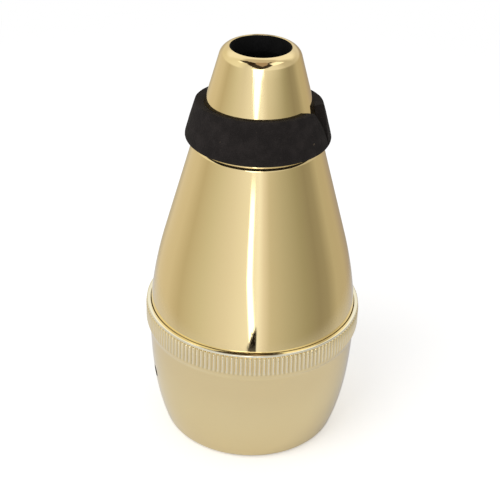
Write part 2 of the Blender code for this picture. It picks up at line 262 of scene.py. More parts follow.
def radius_at(points, height):
    """Radius of a line of points at this height."""
    for (r0, z0), (r1, z1) in zip(points, points[1:]):
        if min(z0, z1) <= height <= max(z0, z1) and z0 != z1:
            return r0 + (r1 - r0) * (height - z0) / (z1 - z0)
    return points[-1][0]


# Modelling with operators


def start_piece(name, point):
    """A new object with one vertex at this radius and height, left in edit mode."""
    bpy.ops.object.select_all(action="DESELECT")
    bpy.ops.mesh.primitive_plane_add(size=MM)
    piece = bpy.context.object
    piece.name = name
    piece.data.name = name
    bpy.ops.object.mode_set(mode="EDIT")
    bpy.ops.mesh.select_all(action="SELECT")
    bpy.ops.mesh.merge(type="CENTER")
    bpy.ops.transform.translate(value=(point[0], 0.0, point[1]))
    return piece


def draw(profile):
    """Extrude the selected vertex along the rest of a profile."""
    for (r0, z0), (r1, z1) in zip(profile, profile[1:]):
        bpy.ops.mesh.extrude_region_move(TRANSFORM_OT_translate={"value": (r1 - r0, 0.0, z1 - z0)})


def spin(angle, steps, copies=False):
    bpy.ops.mesh.select_all(action="SELECT")
    bpy.ops.mesh.spin(steps=steps, angle=angle, center=(0, 0, 0), axis=(0, 0, 1), dupli=copies)


def weld(outward=True):
    """Merge what coincides, and turn every face outward."""
    bpy.ops.mesh.select_all(action="SELECT")
    bpy.ops.mesh.remove_doubles(threshold=0.002 * MM)
    if outward:
        bpy.ops.mesh.normals_make_consistent(inside=False)
    bpy.ops.mesh.select_all(action="DESELECT")
    bpy.ops.object.mode_set(mode="OBJECT")


def turned(name, profile, sectors, sector_steps=8):
    """A closed profile turned round the axis: one sector is spun, and the sector is copied round."""
    piece = start_piece(name, profile[0])
    draw(profile + [profile[0]])
    spin(2 * pi / sectors, sector_steps)
    bpy.ops.mesh.select_all(action="SELECT")
    bpy.ops.mesh.remove_doubles(threshold=0.002 * MM)
    spin(2 * pi * (sectors - 1) / sectors, sectors - 1, copies=True)
    weld()
    return piece


def places(piece):
    """Every vertex of a piece as rows of x, y, z."""
    flat = np.empty(3 * len(piece.data.vertices), np.float32)
    piece.data.vertices.foreach_get("co", flat)
    return flat.reshape(-1, 3)


def choose(piece, chosen):
    """Select these vertices, given as true or false for each, and go into edit mode."""
    if bpy.context.mode != "OBJECT":
        bpy.ops.object.mode_set(mode="OBJECT")
    mesh = piece.data
    mesh.polygons.foreach_set("select", np.zeros(len(mesh.polygons), bool))
    mesh.edges.foreach_set("select", np.zeros(len(mesh.edges), bool))
    mesh.vertices.foreach_set("select", np.asarray(chosen, bool))
    bpy.ops.object.mode_set(mode="EDIT")


def stand_out(piece, chosen, share):
    """Move the chosen vertices outward, by scaling them about the axis."""
    choose(piece, chosen)
    bpy.ops.transform.resize(value=(share, share, 1.0), center_override=(0.0, 0.0, 0.0))
    bpy.ops.object.mode_set(mode="OBJECT")


def only(piece):
    bpy.ops.object.select_all(action="DESELECT")
    piece.select_set(True)
    bpy.context.view_layer.objects.active = piece


def smooth(piece, angle=40.0):
    only(piece)
    bpy.ops.object.shade_smooth_by_angle(angle=radians(angle))


def cut(piece, cutter, operation="DIFFERENCE"):
    """Cut with another object, which is then removed."""
    only(piece)
    change = piece.modifiers.new("Cut", "BOOLEAN")
    change.operation = operation
    change.object = cutter
    change.solver = "EXACT"
    bpy.ops.object.modifier_apply(modifier="Cut")
    bpy.data.objects.remove(cutter)


def wear(piece, *materials):
    piece.data.materials.clear()
    for material in materials:
        piece.data.materials.append(material)


def give_second(piece, chosen):
    """Give the chosen faces the piece's second material."""
    index = np.zeros(len(piece.data.polygons), np.int32)
    index[chosen] = 1
    piece.data.polygons.foreach_set("material_index", index)
    piece.data.update()


def face_middles(piece):
    flat = np.empty(3 * len(piece.data.polygons), np.float32)
    piece.data.polygons.foreach_get("center", flat)
    normal = np.empty_like(flat)
    piece.data.polygons.foreach_get("normal", normal)
    return flat.reshape(-1, 3), normal.reshape(-1, 3)


def stand_for(piece, body, slot, *nodes):
    """The piece rides on its body and takes the place of these CAD nodes."""
    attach(piece, body)
    if nodes:
        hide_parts(*nodes)


# Shaders


class Signal:
    """A socket that arithmetic extends with Math nodes."""

    def __init__(self, graph, socket):
        self.graph = graph
        self.socket = socket

    def math(self, operation, first, second=0.0, third=0.0):
        settings = {"operation": operation}
        return self.graph.node("ShaderNodeMath", settings, {0: first, 1: second, 2: third})

    def __add__(self, other):
        return self.math("ADD", self, other)

    def __sub__(self, other):
        return self.math("SUBTRACT", self, other)

    def __mul__(self, other):
        return self.math("MULTIPLY", self, other)

    def __truediv__(self, other):
        return self.math("DIVIDE", self, other)

    def __rsub__(self, other):
        return self.math("SUBTRACT", other, self)

    def __neg__(self):
        return self.math("MULTIPLY", self, -1.0)

    __radd__ = __add__
    __rmul__ = __mul__

    def step(self, low, high):
        """0 below low, 1 above high and smooth between, or the other way round if low is above high."""
        falling = low > high
        edges = (high, low) if falling else (low, high)
        values = {"From Min": edges[0], "From Max": edges[1], "Value": self}
        rise = self.graph.node("ShaderNodeMapRange", {"interpolation_type": "SMOOTHSTEP"}, values)
        return 1.0 - rise if falling else rise

    def between(self, low, high, soft):
        """1 from low to high, falling to 0 over soft outside them."""
        return self.step(low - soft, low + soft) * self.step(high + soft, high - soft)


class Graph:
    """Builds the nodes of a material or a world."""

    def __init__(self, owner):
        is_world = isinstance(owner, bpy.types.World)
        self.output = "ShaderNodeOutputWorld" if is_world else "ShaderNodeOutputMaterial"
        owner.use_nodes = True
        self.tree = owner.node_tree
        self.tree.nodes.clear()

    def node(self, kind, settings=None, sockets=None, output=0):
        """A node of this type with its settings, and values or links for its sockets."""
        made = self.tree.nodes.new(kind)
        for name, value in (settings or {}).items():
            if name == "stops":
                self.set_stops(made.color_ramp, value)
            else:
                setattr(made, name, value)
        for name, value in (sockets or {}).items():
            if isinstance(value, Signal):
                self.tree.links.new(value.socket, made.inputs[name])
            else:
                made.inputs[name].default_value = value
        return Signal(self, made.outputs[output])

    def set_stops(self, ramp, stops):
        while len(ramp.elements) < len(stops):
            ramp.elements.new(1.0)
        for element, (position, shade) in zip(ramp.elements, stops):
            element.position = position
            element.color = (*shade, 1.0) if len(shade) == 3 else shade

    def mix(self, factor, first, second):
        """A colour between two."""
        settings = {"data_type": "RGBA"}
        sockets = {"Factor": factor, 6: first, 7: second}
        return self.node("ShaderNodeMix", settings, sockets, output=2)

    def bump(self, height, distance, strength=1.0, normal=None):
        sockets = {"Height": height, "Distance": distance, "Strength": strength}
        if normal:
            sockets["Normal"] = normal
        return self.node("ShaderNodeBump", None, sockets)

    def noise(self, place, scale, detail=2.0, roughness=0.5):
        sockets = {"Vector": place, "Scale": scale, "Detail": detail, "Roughness": roughness}
        return self.node("ShaderNodeTexNoise", None, sockets)

    def stretched(self, place, scale):
        settings = {"vector_type": "POINT"}
        return self.node("ShaderNodeMapping", settings, {"Vector": place, "Scale": scale})

    def finish(self, surface):
        output = self.tree.nodes.new(self.output)
        self.tree.links.new(surface.socket, output.inputs["Surface"])


def piece_material(name):
    """A new material, its graph and the piece's own coordinates in metres."""
    material = bpy.data.materials.new(name)
    graph = Graph(material)
    place = graph.node("ShaderNodeTexCoord", None, None, output="Object")
    return material, graph, place


def known(name):
    return bpy.data.materials.get(name)


def plated_gold(finishes):
    """Pale gold plating over moulded plastic: a bright mirror, faintly wavy, with dust and wiping marks,
    painted highlights on the rib crests and the lip's top, and painted shade in the rib valleys.
    """
    if known("gold_plating"):
        return known("gold_plating")
    material, graph, place = piece_material("gold_plating")
    gold = tuple(finishes.gold)
    deeper = tuple(value * share for value, share in zip(gold, (0.985, 0.965, 0.93)))
    patches = graph.noise(place, 45.0, 3.0)
    wiped = graph.noise(graph.stretched(place, (1.0, 1.0, 0.35)), 160.0, 4.0, 0.6)
    dust = graph.node(
        "ShaderNodeTexVoronoi", {"feature": "F1"}, {"Vector": place, "Scale": 420.0, "Randomness": 1.0}
    )
    specks = dust.step(0.10, 0.04) * graph.noise(place, 35.0, 1.0).step(0.60, 0.72)
    wave = graph.noise(place, 70.0, 1.0)
    x = graph.node("ShaderNodeSeparateXYZ", None, {0: place}, output=0)
    y = graph.node("ShaderNodeSeparateXYZ", None, {0: place}, output=1)
    z = graph.node("ShaderNodeSeparateXYZ", None, {0: place}, output=2)
    away = x.math("SQRT", x * x + y * y)
    on_ribs = z.between(RIB_FOOT, RIB_TOP, 0.15 * MM)
    # Painted highlight: the rib crests get a paler colour that stands for the bright reflection along them.
    crest = away.step(RIB_VALLEY + 0.26 * MM, RIB_VALLEY + 0.40 * MM) * on_ribs
    # Painted shade: the collar between the ribs is darkened to stand for the shade that falls in the
    # valleys.
    valley = away.step(RIB_VALLEY + 0.10 * MM, RIB_VALLEY) * on_ribs
    plating = graph.mix(patches, (*gold, 1.0), (*deeper, 1.0))
    plating = graph.mix(valley, plating, tuple(value * 0.80 for value in gold) + (1.0,))
    plating = graph.mix(crest, plating, (0.97, 0.86, 0.60, 1.0))
    # Painted highlight: the top and inner rim of the lip get a pale colour that stands for the pale
    # reflection there.
    lip = z.step(BOWL_HIGH.z - 0.85 * MM, BOWL_HIGH.z - 0.70 * MM)
    lip = lip * away.step(CONE_HIGH.x + 0.05 * MM, CONE_HIGH.x + 0.10 * MM)
    plating = graph.mix(lip, plating, (0.96, 0.90, 0.68, 1.0))
    shader = graph.node(
        "ShaderNodeBsdfPrincipled",
        None,
        {
            "Base Color": plating,
            "Metallic": 1.0,
            "Roughness": 0.055 + wiped.step(0.50, 0.85) * 0.05 + specks * 0.25,
            "Normal": graph.bump(wave + wiped * 0.06, 0.02 * MM, 0.6),
        },
    )
    graph.finish(shader)
    return material


def closed_cell_foam(finishes):
    """Matt near-black foam: fine cells, faint mottling and a few pale nicks."""
    if known("closed_cell_foam"):
        return known("closed_cell_foam")
    material, graph, place = piece_material("closed_cell_foam")
    foam = tuple(finishes.foam)
    lighter = tuple(1.75 * value for value in foam)
    nick = (0.10, 0.075, 0.05, 1.0)
    mottling = graph.noise(place, 240.0, 5.0, 0.65)
    cells = graph.node(
        "ShaderNodeTexVoronoi", {"feature": "SMOOTH_F1"}, {"Vector": place, "Scale": 2600.0}
    )
    grain = graph.noise(place, 1500.0, 3.0, 0.6)
    nicks = graph.noise(place, 900.0, 2.0).step(0.70, 0.76) * graph.noise(place, 130.0, 1.0).step(0.60, 0.68)
    base = graph.mix(mottling.step(0.35, 0.75), (*foam, 1.0), (*lighter, 1.0))
    shader = graph.node(
        "ShaderNodeBsdfPrincipled",
        None,
        {
            "Base Color": graph.mix(nicks, base, nick),
            "Roughness": 0.92,
            "Specular IOR Level": 0.22,
            "Normal": graph.bump(cells * 0.6 + grain, 0.12 * MM, 0.9),
        },
    )
    graph.finish(shader)
    return material


def black_plastic(finishes):
    """Unplated black moulding with a fine even grain."""
    if known("black_moulding"):
        return known("black_moulding")
    material, graph, place = piece_material("black_moulding")
    base = tuple(finishes.plastic)
    worn = tuple(1.9 * value for value in base)
    rubbed = graph.noise(place, 210.0, 4.0)
    grain = graph.noise(place, 3200.0, 2.0)
    shader = graph.node(
        "ShaderNodeBsdfPrincipled",
        None,
        {
            "Base Color": graph.mix(rubbed.step(0.45, 0.8), (*base, 1.0), (*worn, 1.0)),
            "Roughness": 0.52 + rubbed * 0.16,
            "Specular IOR Level": 0.14,
            "Normal": graph.bump(grain, 0.03 * MM, 0.6),
        },
    )
    graph.finish(shader)
    return material


def black_rubber(finishes):
    """Gasket rubber: dull, with moulding flow and a trace of powder."""
    if known("gasket_compound"):
        return known("gasket_compound")
    material, graph, place = piece_material("gasket_compound")
    base = tuple(finishes.rubber)
    powder = tuple(value + 0.018 for value in base)
    cloud = graph.noise(place, 320.0, 4.0)
    shader = graph.node(
        "ShaderNodeBsdfPrincipled",
        None,
        {
            "Base Color": graph.mix(cloud.step(0.5, 0.85), (*base, 1.0), (*powder, 1.0)),
            "Roughness": 0.62 + cloud * 0.2,
            "Specular IOR Level": 0.35,
            "Normal": graph.bump(graph.noise(place, 2400.0, 3.0), 0.02 * MM, 0.7),
        },
    )
    graph.finish(shader)
    return material


# The bowl


def bowl_wall(bowl, steps=20):
    """The bowl's wall from under the collar down to the flat of the foot."""
    rim = (bowl.rim_radius, bowl.height - bowl.collar_height - bowl.collar_taper)
    lean = radians(19.6)
    corner = arc((bowl.foot_radius, bowl.foot_corner), bowl.foot_corner, -lean, -pi / 2, 7)
    rim_handle = (rim[0] - 8.0 * MM * sin(radians(2.2)), rim[1] - 8.0 * MM * cos(radians(2.2)))
    foot_handle = (corner[0][0] + 14.0 * MM * sin(lean), corner[0][1] + 14.0 * MM * cos(lean))
    return bezier(rim, rim_handle, foot_handle, corner[0], steps)[:-1] + corner


def bowl_inside(bowl, seat_z, spigot_end):
    """From the middle of the floor up the inner wall to the seat and the collar's top."""
    wall = offset(bowl_wall(bowl, 7), -bowl.wall)
    low = bowl.floor + 2.5 * MM
    side = [point for point in wall if point[1] > low + MM]
    edge = radius_at(wall, low) - 2.5 * MM
    corner = arc((edge, low), 2.5 * MM, -pi / 2, 0.0, 3)
    bore = 35.0 * MM
    seat = 36.6 * MM
    return [(0.0, bowl.floor), (edge / 2, bowl.floor)] + corner + list(reversed(side)) + [
        (bore, spigot_end - GAP),
        (bore, seat_z - 0.15 * MM),
        (bore + 0.15 * MM, seat_z),
        (seat, seat_z),
    ]


def make_rib(bowl, name):
    """One rib's share of the collar, from the lip down to the wall: a strip of nine columns whose
    middle columns stand out in a rounded ridge with a sloped foot."""
    columns = 8
    top = bowl.height - bowl.lip_height
    foot = bowl.height - bowl.collar_height
    valley = bowl.valley_radius
    heights = [top - bowl.lip_step - share * MM for share in (0.0, 0.22, 0.5)] + [(top + foot) / 2]
    heights += [foot + share * MM for share in (1.6, 0.9, 0.45, 0.1, -0.35)]
    piece = start_piece(name, (valley, heights[0]))
    draw([(valley, z) for z in heights])
    share = 2 * pi / bowl.ribs
    spin(share, columns)
    bpy.ops.object.mode_set(mode="OBJECT")
    # How far a column stands out, by its distance from the rib's middle, and a row by its height.
    across = {0: 1.0, 1: 0.86, 2: 0.34, 3: 0.03}
    down = {1: 0.8, 2: 1.0, 3: 1.0, 4: 1.0, 5: 0.94, 6: 0.66, 7: 0.22}
    spots = places(piece)
    turn = np.round(np.abs(np.arctan2(spots[:, 1], spots[:, 0])) / share * columns).astype(int)
    for row, height_share in down.items():
        level = np.abs(spots[:, 2] - heights[row]) < 0.01 * MM
        for column, width_share in across.items():
            beside = np.abs(np.abs(turn - columns // 2) - column) < 0.5
            out = bowl.rib_depth * width_share * height_share
            stand_out(piece, level & beside, 1 + out / valley)
    return piece


def make_bowl(scene, name):
    bowl = scene.mute_bowl
    seat_z = GASKET_LOW.z - GAP
    spigot_end = CONE_LOW.z
    top = bowl.height
    seat = 36.6 * MM
    lip = bowl.valley_radius + bowl.lip_step
    rib_top = top - bowl.lip_height
    rib_foot = top - bowl.collar_height
    ring = rounded(
        [
            (seat, seat_z, 0.0),
            (seat, top - 0.85 * MM, 0.0),
            (seat - 0.16 * MM, top - 0.6 * MM, 0.0),
            (seat - 0.16 * MM, top, 0.10 * MM),
            (lip, top, 0.35 * MM),
            (lip, rib_top, 0.12 * MM),
            (bowl.valley_radius, rib_top - bowl.lip_step, 0.0),
        ],
        closed=False,
    )
    wall = bowl_wall(bowl)
    taper_end = wall[0]
    taper_start = (bowl.valley_radius, rib_foot - 0.35 * MM)
    taper = bezier(
        taper_start,
        (bowl.valley_radius, rib_foot - 1.2 * MM),
        (taper_end[0] + 0.06 * MM, taper_end[1] + 1.1 * MM),
        taper_end,
        5,
    )
    upper = bowl_inside(bowl, seat_z, spigot_end)[:-1] + ring
    lower = taper[:-1] + wall + [(bowl.foot_radius / 2, 0.0), (0.0, 0.0)]

    rib = make_rib(bowl, name)
    choose(rib, np.zeros(len(rib.data.vertices), bool))
    bpy.ops.object.mode_set(mode="OBJECT")
    strips = []
    for part in (upper, lower):
        strip = start_piece(name + "_strip", part[0])
        draw(part)
        spin(2 * pi / bowl.ribs, 8)
        bpy.ops.mesh.select_all(action="DESELECT")
        bpy.ops.object.mode_set(mode="OBJECT")
        strips.append(strip)
    only(rib)
    for strip in strips:
        strip.select_set(True)
    bpy.ops.object.join()
    bpy.ops.object.mode_set(mode="EDIT")
    bpy.ops.mesh.select_all(action="SELECT")
    bpy.ops.mesh.remove_doubles(threshold=0.002 * MM)
    spin(2 * pi * (bowl.ribs - 1) / bowl.ribs, bowl.ribs - 1, copies=True)
    weld()
    return rib


def facing(turn):
    """Unit vector that points this far round from the front, towards +X."""
    return Vector((sin(turn), -cos(turn), 0.0))


class MUTE_OT_bowl(bpy.types.Operator):
    """Make the plated bowl with its ribbed collar and its two vent holes"""

    bl_idname = "mute.bowl"
    bl_label = "Bowl"
    bl_options = {"REGISTER", "UNDO"}

    def execute(self, context):
        bowl = context.scene.mute_bowl
        finishes = context.scene.mute_finishes
        piece = make_bowl(context.scene, "bowl_plated")
        bpy.ops.object.select_all(action="DESELECT")
        bpy.ops.mesh.primitive_cylinder_add(
            vertices=56,
            radius=bowl.vent_radius,
            depth=2.4 * bowl.rim_radius,
            location=(0.0, 0.0, bowl.vent_height),
            rotation=facing(bowl.vent_turn).to_track_quat("Z", "X").to_euler(),
        )
        cut(piece, context.object)
        wear(piece, plated_gold(finishes), black_plastic(finishes))
        middle, normal = face_middles(piece)
        inward = (middle[:, :2] * normal[:, :2]).sum(1) < -0.2 * np.hypot(middle[:, 0], middle[:, 1])
        radius = np.hypot(middle[:, 0], middle[:, 1])
        floor = (normal[:, 2] > 0.5) & (middle[:, 2] < 8.0 * MM) & (middle[:, 2] > 1.0 * MM)
        below_seat = middle[:, 2] < GASKET_LOW.z - 0.2 * MM
        wall = radius < np.interp(middle[:, 2], *wall_inside(bowl))
        axis = np.array(facing(bowl.vent_turn))
        spoke = middle - np.array((0.0, 0.0, bowl.vent_height))
        from_axis = np.linalg.norm(spoke - np.outer(spoke @ axis, axis), axis=1)
        hole = from_axis < bowl.vent_radius * 1.0005
        give_second(piece, ((inward | floor) & below_seat & wall) | hole)
        smooth(piece)
        stand_for(piece, "bowl", "plated_gold", "bowl_cap")
        return {"FINISHED"}


def wall_inside(bowl):
    """Heights and radii of a line half way through the bowl's wall."""
    line = offset(bowl_wall(bowl, 16), -bowl.wall * 0.75)
    line = sorted((z, r) for r, z in line)
    heights = [z for z, _ in line] + [bowl.height]
    radii = [r for _, r in line] + [line[-1][1]]
    return heights, radii


# The cone


def cone_tilt(cone):
    return atan2(cone.knee_radius - cone.top_radius, cone.height - cone.knee_height)


def on_cone(cone, height, outward=0.0):
    """Point on the straight cone at a height over its shoulder, or this far out from it."""
    tilt = cone_tilt(cone)
    radius = cone.top_radius + (cone.height - height) * tan(tilt)
    return (radius + outward * cos(tilt), height + outward * sin(tilt))


def cone_outside(cone):
    """From the neck's opening over its rounding, down the cone and its groove to the foot."""
    tilt = cone_tilt(cone)
    height = cone.height - cone.shoulder_round
    line = cone.top_radius + cone.shoulder_round * tan(tilt)
    centre = (line - cone.shoulder_round / cos(tilt), height)
    reach = cone.opening_radius + 0.22 * MM - centre[0]
    start = atan2((cone.shoulder_round ** 2 - reach ** 2) ** 0.5, reach)
    neck = arc(centre, cone.shoulder_round, start, tilt, 26)
    flare = blend((cone.joint_radius, 0.0), (cone.knee_radius, cone.knee_height),
                  (cone.top_radius, cone.height), 24)
    groove = cone.height - cone.groove_below
    half = cone.groove_width / 2
    dip = rounded(
        [
            (*on_cone(cone, groove + 2 * half), 0.0),
            (*on_cone(cone, groove + half), 0.08 * MM),
            (*on_cone(cone, groove + half * 0.6, -cone.groove_depth), 0.08 * MM),
            (*on_cone(cone, groove - half), 0.12 * MM),
            (*on_cone(cone, groove - 2 * half), 0.0),
        ],
        closed=False,
    )
    upper = straight(neck[-1], dip[0], 10)
    lower = straight(dip[-1], flare[-1], 14)
    return neck + upper + dip + lower + flare[::-1]


def cone_profile(cone):
    outside = cone_outside(cone)
    spigot = cone.spigot_radius
    bore = spigot - 1.8 * MM
    rebate = bore + 0.6 * MM
    end = -8.2 * MM
    inside = offset(blend((cone.joint_radius, 0.0), (cone.knee_radius, cone.knee_height),
                          (cone.top_radius, cone.height), 10), cone.wall)
    web = 1.6 * MM
    web_top = web + radius_at(inside, 2 * web) - bore
    neck_floor = cone.height - 6.0 * MM
    neck_step = on_cone(cone, neck_floor, -cone.wall)[0] - cone.opening_radius
    lower = rounded(
        [
            (cone.joint_radius - 0.3 * MM, 0.0, 0.0),
            (spigot, 0.0, 0.25 * MM),
            (spigot, 0.5 * MM + end, 0.15 * MM),
            (spigot - 0.5 * MM, end, 0.10 * MM),
            (rebate, end, 0.10 * MM),
            (rebate, 2.3 * MM + end, 0.0),
            (bore, 2.3 * MM + end, 0.0),
            (bore, web, 0.3 * MM),
            (radius_at(inside, web_top), web_top, 0.3 * MM),
            inside_point(inside, web_top + web),
        ],
        closed=False,
    )
    foot = arc((cone.joint_radius - 0.3 * MM, 0.3 * MM), 0.3 * MM, 0.0, -pi / 2, 4)
    above = [point for point in inside if point[1] > web_top + 1.5 * web]
    opening = cone.opening_radius
    top = cone.height
    rim = arc((opening + 0.25 * MM, top - 0.29 * MM), 0.25 * MM, pi, pi / 2, 4)
    upper = [
        on_cone(cone, neck_floor - neck_step, -cone.wall),
        (opening, neck_floor),
        (opening, top - 0.9 * MM),
    ]
    outside = [point for point in outside if point[1] > 0.31 * MM]
    profile = outside + foot + lower[1:] + above + upper + rim[:-1]
    return [(r, z + cone.shoulder_z) for r, z in profile]


def inside_point(inside, height):
    return (radius_at(inside, height), height, 0.0)


def make_thread(name, radius, depth, pitch, start, turns, inward=False):
    """A helical ridge of even section with tapered ends, on a wall of this radius."""
    into = -1.0 if inward else 1.0
    base = 0.60 * MM
    crest = 0.28 * MM
    section = [
        (radius - into * 0.08 * MM, start - base),
        (radius + into * depth, start - crest),
        (radius + into * depth, start + crest),
        (radius - into * 0.08 * MM, start + base),
    ]
    piece = start_piece(name, section[0])
    draw(section)
    bpy.ops.mesh.select_all(action="SELECT")
    bpy.ops.mesh.edge_face_add()
    bpy.ops.object.mode_set(mode="OBJECT")
    only(piece)
    helix = piece.modifiers.new("Helix", "SCREW")
    helix.axis = "Z"
    helix.angle = 2 * pi
    helix.iterations = turns
    helix.screw_offset = pitch
    helix.steps = 96
    helix.render_steps = 96
    helix.use_merge_vertices = False
    bpy.ops.object.modifier_apply(modifier="Helix")
    return piece


class MUTE_OT_cone(bpy.types.Operator):
    """Make the plated cone with its neck, groove, flared foot and threaded spigot"""

    bl_idname = "mute.cone"
    bl_label = "Cone"
    bl_options = {"REGISTER", "UNDO"}

    def execute(self, context):
        cone = context.scene.mute_cone
        finishes = context.scene.mute_finishes
        piece = turned("cone_plated", cone_profile(cone), 32, 8)
        wear(piece, plated_gold(finishes), black_plastic(finishes))
        middle, normal = face_middles(piece)
        inward = (middle[:, :2] * normal[:, :2]).sum(1) < -0.1 * np.hypot(middle[:, 0], middle[:, 1])
        below_rim = middle[:, 2] < CONE_HIGH.z - 1.2 * MM
        give_second(piece, inward & below_rim & (middle[:, 2] > cone.shoulder_z - 5.0 * MM))
        smooth(piece)
        stand_for(piece, "cone", "plated_gold", "cone_shell")
        return {"FINISHED"}


# The foam band


def make_band(scene, name):
    """The foam strip: a soft-cornered section turned nearly all the way round, then bent to its seam."""
    band = scene.mute_band
    cone = scene.mute_cone
    tilt = cone_tilt(cone)
    high = cone.height - band.below_top
    low = high - band.width * cos(tilt)
    thick = GAP + band.thickness
    swell = 0.10 * MM
    inner = 0.05 * MM
    outline = rounded(
        [
            (*on_cone(cone, low, inner), 0.12 * MM),
            (*on_cone(cone, low, thick), 0.55 * MM),
            (*on_cone(cone, (low + high) / 2, thick + swell), 90 * MM),
            (*on_cone(cone, high, thick), 0.45 * MM),
            (*on_cone(cone, high, inner), 0.12 * MM),
        ]
    )
    dense = []
    for here, there in zip(outline, outline[1:] + outline[:1]):
        gap = hypot(there[0] - here[0], there[1] - here[1])
        dense += [here] + straight(here, there, max(1, round(gap / (0.7 * MM))))
    section = [(r, z + cone.shoulder_z) for r, z in dense]
    piece = start_piece(name, section[0])
    draw(section)
    bpy.ops.mesh.select_all(action="SELECT")
    bpy.ops.mesh.edge_face_add()
    spin(2 * pi - SPIN_GAP, 240)
    bpy.ops.object.mode_set(mode="OBJECT")
    bend_band(scene, piece, low, high)
    bpy.ops.object.mode_set(mode="EDIT")
    weld()
    return piece


def bend_band(scene, piece, low, high):
    """Set the strip's two slanted ends, let its upper edge sit lower towards the back, and roughen it."""
    band = scene.mute_band
    cone = scene.mute_cone
    for vertex in piece.data.vertices:
        x, y, z = vertex.co
        radius = hypot(x, y)
        # Spin turns clockwise, so the strip's first end is at no turn and its last just short of a full one.
        share = ((0.001 - atan2(y, x)) % (2 * pi) - 0.001) / (2 * pi - SPIN_GAP)
        up = (z - cone.shoulder_z - low) / (high - low)
        front_end = band.seam_turn - band.seam_lean * up ** 2
        back_end = band.seam_turn + band.seam_foot_gap / radius + band.seam_back * max(0.0, up) ** 1.5
        turn = back_end + share * (2 * pi + front_end - back_end)
        rough = noise.noise(vertex.co * 330.0) * 0.05 * MM + noise.noise(vertex.co * 90.0) * 0.06 * MM
        outward = radius - on_cone(cone, z - cone.shoulder_z)[0]
        surface = min(1.0, max(0.0, outward / (band.thickness * 0.5)))
        droop = band.droop * sin(turn / 2) ** 2 * max(0.0, up) ** 2
        slid = z - droop
        radius += rough * surface + droop * tan(cone_tilt(cone))
        vertex.co = (*(facing(turn) * radius).xy, slid + rough * 0.6)
    piece.data.update()


class MUTE_OT_band(bpy.types.Operator):
    """Make the foam sealing band with its slanted open joint"""

    bl_idname = "mute.band"
    bl_label = "Sealing band"
    bl_options = {"REGISTER", "UNDO"}

    def execute(self, context):
        piece = make_band(context.scene, "sealing_band_foam")
        wear(piece, closed_cell_foam(context.scene.mute_finishes))
        smooth(piece, 50.0)
        stand_for(piece, "cone", "black_foam", "sealing_band")
        return {"FINISHED"}


# Pieces inside


class MUTE_OT_throat(bpy.types.Operator):
    """Make the throat tube and the ported baffle plate that carries it"""

    bl_idname = "mute.throat"
    bl_label = "Throat tube and baffle"
    bl_options = {"REGISTER", "UNDO"}

    def execute(self, context):
        tube = context.scene.mute_tube
        finishes = context.scene.mute_finishes
        outer = TUBE_HIGH.x
        bore = outer - tube.wall
        rim = TUBE_HIGH.z + 0.25 * MM
        lining = rounded(
            [
                (bore, TUBE_LOW.z, 0.2 * MM),
                (outer, TUBE_LOW.z, 0.2 * MM),
                (outer, rim - 1.2 * MM, 0.0),
                (outer + 0.24 * MM, rim - 0.6 * MM, 0.0),
                (outer + 0.24 * MM, rim, 0.0),
                (outer + 0.10 * MM, rim, 0.0),
                (bore, rim - 5.0 * MM, 2.0 * MM),
            ]
        )
        dense = []
        for here, there in zip(lining, lining[1:] + lining[:1]):
            gap = hypot(there[0] - here[0], there[1] - here[1])
            dense += [here] + straight(here, there, max(1, round(gap / (9 * MM))))
        piece = turned("throat_lining", dense, 16, 6)
        wear(piece, black_plastic(finishes))
        smooth(piece)
        stand_for(piece, "cone", "black_plastic", "throat_tube")

        hub_bore = outer + GAP
        hub = hub_bore + tube.hub_wall
        low = BAFFLE_LOW.z
        plate_top = low + tube.baffle
        plate = turned(
            "baffle_ported",
            rounded(
                [
                    (hub_bore, low, 0.2 * MM),
                    (BAFFLE_HIGH.x, low, 0.3 * MM),
                    (BAFFLE_HIGH.x, plate_top, 0.3 * MM),
                    (hub, plate_top, 0.8 * MM),
                    (hub, BAFFLE_HIGH.z, 0.5 * MM),
                    (hub_bore, BAFFLE_HIGH.z, 0.3 * MM),
                ]
            ),
            24,
            6,
        )
        for i in range(tube.ports):
            spot = facing(2 * pi * i / tube.ports) * tube.port_circle
            bpy.ops.object.select_all(action="DESELECT")
            bpy.ops.mesh.primitive_cylinder_add(
                vertices=40, radius=tube.port_radius, depth=6 * tube.baffle,
                location=(spot.x, spot.y, low),
            )
            cut(plate, context.object)
        wear(plate, black_plastic(finishes))
        smooth(plate)
        stand_for(plate, "cone", "black_plastic", "baffle_plate")
        return {"FINISHED"}


class MUTE_OT_thread(bpy.types.Operator):
    """Make the screw thread's two ridges, on the spigot and in the bowl's bore"""

    bl_idname = "mute.thread"
    bl_label = "Screw thread"
    bl_options = {"REGISTER", "UNDO"}

    def execute(self, context):
        cone = context.scene.mute_cone
        finishes = context.scene.mute_finishes
        outer = make_thread(
            "spigot_thread", cone.spigot_radius, 0.7 * MM, cone.thread_pitch, 41.7 * MM, 1
        )
        inner = make_thread("bore_thread", 35.0 * MM, 0.7 * MM, cone.thread_pitch, 43.2 * MM, 1, True)
        for piece, body in ((outer, "cone"), (inner, "bowl")):
            only(piece)
            bpy.ops.object.mode_set(mode="EDIT")
            bpy.ops.mesh.select_all(action="SELECT")
            bpy.ops.mesh.fill_holes(sides=4)
            weld()
            wear(piece, plated_gold(finishes))
            smooth(piece, 30.0)
            stand_for(piece, body, "plated_gold")
        return {"FINISHED"}


